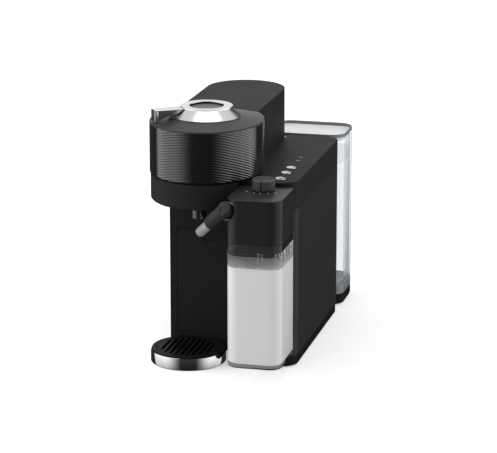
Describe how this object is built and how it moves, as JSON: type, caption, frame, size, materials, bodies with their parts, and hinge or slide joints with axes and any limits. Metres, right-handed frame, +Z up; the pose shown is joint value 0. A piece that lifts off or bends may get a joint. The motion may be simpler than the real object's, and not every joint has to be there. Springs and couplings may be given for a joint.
{
  "type": "pod coffee machine",
  "caption": "Pod coffee machine: lift-up oval head with a chrome dial and lever, side block with a plug-in milk jug and spout, rear water tank, round drip tray.",
  "frame": {"origin": "centre of the footprint on the table, under the middle of the overall box", "axes": "+X to the machine's right side as seen by the user, +Y to the rear, +Z up; the cup stands at the front"},
  "size_m": [0.1824, 0.4078, 0.3027],
  "materials": {
    "casing": "fine matte grain, charcoal",
    "gloss_black": "polished, ribbed",
    "soft_black": "satin black",
    "inner_plastic": "plain moulded",
    "chrome": "mirror chrome",
    "dark_chrome": "smoked chrome",
    "steel": "brushed",
    "aluminium": "as cast",
    "copper": "drawn tube",
    "knob_grey": "satin grey",
    "clear": "clear moulding",
    "frosted": "translucent white",
    "rubber": "matte rubber",
    "board": "printed circuit board",
    "white_plastic": "natural nylon"
  },
  "bodies": {
    "machine": {"base_plate": "soft_black", "rubber_feet": "rubber", "plinth": "soft_black", "tower_shell": "casing", "column_front": "casing", "tower_front": "casing", "tower_top": "casing", "block_shell": "casing", "deck_cap": "casing", "brew_housing": "soft_black", "brew_deck": "soft_black", "coffee_outlet": "gloss_black", "inner_frame": "inner_plastic", "spin_motor": "steel", "drive_belt": "rubber", "water_pump": "steel", "pump_mounts": "rubber", "thermoblock": "aluminium", "steam_heater": "aluminium", "flow_meter": "white_plastic", "control_board": "board", "water_hoses": "white_plastic", "steam_pipe": "copper", "tank_dock": "soft_black", "dock_valve": "white_plastic", "power_inlet": "soft_black", "milk_socket": "soft_black", "hinge_pin": "steel", "base_screws": "steel"},
    "head": {"head_frame": "inner_plastic", "ribbed_panel": "gloss_black", "head_rim": "casing"},
    "injector": {"injection_head": "steel"},
    "dial": {"dial_ring": "chrome", "dial_cone": "chrome", "dial_sleeve": "soft_black", "release_lever": "chrome"},
    "brew_key": {"brew_button": "gloss_black"},
    "key_front": {"button_front": "steel"},
    "key_middle": {"button_middle": "steel"},
    "key_rear": {"button_rear": "steel"},
    "holder": {"capsule_holder": "inner_plastic", "holder_pulley": "white_plastic"},
    "motor_rotor": {"motor_pulley": "steel"},
    "tray": {"drip_tray": "soft_black", "tray_band": "chrome"},
    "grid": {"drip_grid": "soft_black"},
    "bin": {"capsule_bin": "casing"},
    "lid": {"milk_lid": "casing", "lid_skirt": "soft_black", "milk_tube": "clear", "milk_plug": "steel", "spout_collar": "gloss_black"},
    "knob": {"froth_knob": "knob_grey"},
    "spout": {"spout_tube": "gloss_black", "spout_nozzle": "chrome"},
    "jug": {"milk_jug": "clear"},
    "tank": {"water_tank": "clear", "tank_band": "dark_chrome"},
    "tank_cover": {"tank_lid": "frosted"}
  },
  "joints": [
    {"name": "head_lift", "type": "hinge", "parent": "machine", "child": "head", "pos_m": [-0.0247, -0.03965, 0.2827], "axis": [1, 0, 0], "range_deg": [-65, 0]},
    {"name": "injector_spin", "type": "hinge", "parent": "head", "child": "injector", "pos_m": [-0.0247, -0.09262, 0.225], "axis": [0, 0, 1], "continuous": true},
    {"name": "lever_turn", "type": "hinge", "parent": "head", "child": "dial", "pos_m": [-0.0247, -0.09262, 0.286], "axis": [0, 0, 1], "range_deg": [0, 50]},
    {"name": "brew_press", "type": "slide", "parent": "head", "child": "brew_key", "axis": [0, 0, -1], "range_m": [0, 0.001], "stiffness_N_per_m": 500, "springref_m": -0.001},
    {"name": "key_front_press", "type": "slide", "parent": "machine", "child": "key_front", "axis": [0, 0, -1], "range_m": [0, 0.001], "stiffness_N_per_m": 500, "springref_m": -0.001},
    {"name": "key_middle_press", "type": "slide", "parent": "machine", "child": "key_middle", "axis": [0, 0, -1], "range_m": [0, 0.001], "stiffness_N_per_m": 500, "springref_m": -0.001},
    {"name": "key_rear_press", "type": "slide", "parent": "machine", "child": "key_rear", "axis": [0, 0, -1], "range_m": [0, 0.001], "stiffness_N_per_m": 500, "springref_m": -0.001},
    {"name": "holder_spin", "type": "hinge", "parent": "machine", "child": "holder", "pos_m": [-0.0247, -0.09262, 0.194], "axis": [0, 0, 1], "continuous": true},
    {"name": "motor_spin", "type": "hinge", "parent": "machine", "child": "motor_rotor", "pos_m": [-0.0247, -0.05812, 0.194], "axis": [0, 0, 1], "continuous": true},
    {"name": "tray_slide", "type": "slide", "parent": "machine", "child": "tray", "axis": [0, -1, 0], "range_m": [0, 0.065]},
    {"name": "grid_lift", "type": "slide", "parent": "tray", "child": "grid", "axis": [0, 0, 1], "range_m": [0, 0.025]},
    {"name": "bin_slide", "type": "slide", "parent": "machine", "child": "bin", "axis": [0, -1, 0], "range_m": [0, 0.06]},
    {"name": "jug_slide", "type": "slide", "parent": "machine", "child": "lid", "axis": [0, -1, 0], "range_m": [0, 0.1]},
    {"name": "jug_drop", "type": "slide", "parent": "lid", "child": "jug", "axis": [0, 0, -1], "range_m": [0, 0.015]},
    {"name": "knob_turn", "type": "hinge", "parent": "lid", "child": "knob", "pos_m": [0.0565, -0.14592, 0.219], "axis": [0, 0, 1], "range_deg": [-70, 70]},
    {"name": "spout_swing", "type": "hinge", "parent": "lid", "child": "spout", "pos_m": [0.0228, -0.19912, 0.2085], "axis": [-0.2962, -0.8138, 0.5], "range_deg": [-8, 25]},
    {"name": "tank_lift", "type": "slide", "parent": "machine", "child": "tank", "axis": [0, 0, 1], "range_m": [0, 0.06]},
    {"name": "tank_lid_lift", "type": "slide", "parent": "tank", "child": "tank_cover", "axis": [0, 0, 1], "range_m": [0, 0.03]}
  ],
  "couplings": [
    {"joint": "motor_spin", "follows": "holder_spin", "ratio": 2.1429},
    {"joint": "injector_spin", "follows": "holder_spin", "ratio": 1}
  ]
}
